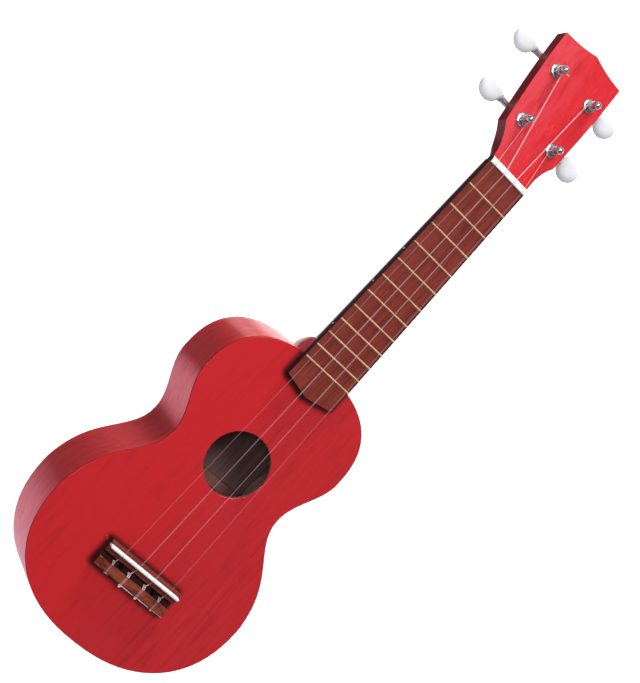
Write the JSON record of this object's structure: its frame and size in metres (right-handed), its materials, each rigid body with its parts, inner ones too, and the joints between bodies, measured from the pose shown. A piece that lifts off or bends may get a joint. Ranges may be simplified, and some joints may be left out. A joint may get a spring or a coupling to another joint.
{
  "type": "ukulele",
  "caption": "Small figure-eight hollow plucked instrument of red stained wood with a round sound hole, tied bridge, fretted neck and tilted head with geared tuners.",
  "frame": {"origin": "on the flat outer face of the back, on the centre line, half way along the sound box", "axes": "+X to the treble side, +Y along the neck to the head, +Z out of the soundboard"},
  "size_m": [0.162, 0.5145, 0.0693],
  "materials": {
    "red_wood": "stained red, satin lacquer",
    "pale_wood": "raw",
    "brown_wood": "stained dark brown, satin",
    "fret_wire": "drawn wire",
    "white_plastic": "polished",
    "button_plastic": "polished, slightly translucent",
    "dark_screw": "black",
    "nylon": "clear nylon",
    "screw_steel": "plain",
    "gear_brass": "cut",
    "bright_metal": "polished",
    "plated_steel": "nickel plated"
  },
  "bodies": {
    "instrument": {"soundboard": "red_wood", "back_plate": "red_wood", "rib_bass": "red_wood", "rib_treble": "red_wood", "neck_block": "pale_wood", "tail_block": "pale_wood", "lining_top_bass": "pale_wood", "lining_top_treble": "pale_wood", "lining_back_bass": "pale_wood", "lining_back_treble": "pale_wood", "brace_top_upper": "pale_wood", "brace_top_lower": "pale_wood", "bridge_patch": "pale_wood", "brace_back_waist": "pale_wood", "brace_back_lower": "pale_wood", "neck": "red_wood", "fretboard": "brown_wood", "frets": "fret_wire", "side_dots": "white_plastic", "nut": "white_plastic", "bridge": "brown_wood", "bridge_screws": "dark_screw", "saddle": "white_plastic", "tuner_bushing_g": "bright_metal", "tuner_bushing_c": "bright_metal", "tuner_bushing_e": "bright_metal", "tuner_bushing_a": "bright_metal", "tuner_plate_g": "plated_steel", "tuner_plate_c": "plated_steel", "tuner_plate_e": "plated_steel", "tuner_plate_a": "plated_steel", "tuner_screws": "screw_steel", "string_g": "nylon", "string_c": "nylon", "string_e": "nylon", "string_a": "nylon"},
    "button_g": {"tuner_worm_g": "plated_steel", "tuner_button_g": "button_plastic"},
    "post_g": {"tuner_post_g": "bright_metal", "tuner_gear_g": "gear_brass", "tuner_gear_screw_g": "screw_steel"},
    "button_c": {"tuner_worm_c": "plated_steel", "tuner_button_c": "button_plastic"},
    "post_c": {"tuner_post_c": "bright_metal", "tuner_gear_c": "gear_brass", "tuner_gear_screw_c": "screw_steel"},
    "button_e": {"tuner_worm_e": "plated_steel", "tuner_button_e": "button_plastic"},
    "post_e": {"tuner_post_e": "bright_metal", "tuner_gear_e": "gear_brass", "tuner_gear_screw_e": "screw_steel"},
    "button_a": {"tuner_worm_a": "plated_steel", "tuner_button_a": "button_plastic"},
    "post_a": {"tuner_post_a": "bright_metal", "tuner_gear_a": "gear_brass", "tuner_gear_screw_a": "screw_steel"}
  },
  "joints": [
    {"name": "button_g_turn", "type": "hinge", "parent": "instrument", "child": "button_g", "pos_m": [-0.015, 0.32922, 0.03927], "axis": [-1, 0, 0], "continuous": true},
    {"name": "post_g_turn", "type": "hinge", "parent": "instrument", "child": "post_g", "pos_m": [-0.015, 0.32652, 0.05557], "axis": [0, 0.2062, 0.9785], "continuous": true},
    {"name": "button_c_turn", "type": "hinge", "parent": "instrument", "child": "button_c", "pos_m": [-0.017, 0.36982, 0.03071], "axis": [-1, 0, 0], "continuous": true},
    {"name": "post_c_turn", "type": "hinge", "parent": "instrument", "child": "post_c", "pos_m": [-0.017, 0.36713, 0.04702], "axis": [0, 0.2062, 0.9785], "continuous": true},
    {"name": "button_e_turn", "type": "hinge", "parent": "instrument", "child": "button_e", "pos_m": [0.017, 0.36982, 0.03071], "axis": [1, 0, 0], "continuous": true},
    {"name": "post_e_turn", "type": "hinge", "parent": "instrument", "child": "post_e", "pos_m": [0.017, 0.36713, 0.04702], "axis": [0, 0.2062, 0.9785], "continuous": true},
    {"name": "button_a_turn", "type": "hinge", "parent": "instrument", "child": "button_a", "pos_m": [0.015, 0.32922, 0.03927], "axis": [1, 0, 0], "continuous": true},
    {"name": "post_a_turn", "type": "hinge", "parent": "instrument", "child": "post_a", "pos_m": [0.015, 0.32652, 0.05557], "axis": [0, 0.2062, 0.9785], "continuous": true}
  ],
  "couplings": [
    {"joint": "post_g_turn", "follows": "button_g_turn", "ratio": 0.071429},
    {"joint": "post_c_turn", "follows": "button_c_turn", "ratio": 0.071429},
    {"joint": "post_e_turn", "follows": "button_e_turn", "ratio": 0.071429},
    {"joint": "post_a_turn", "follows": "button_a_turn", "ratio": 0.071429}
  ]
}
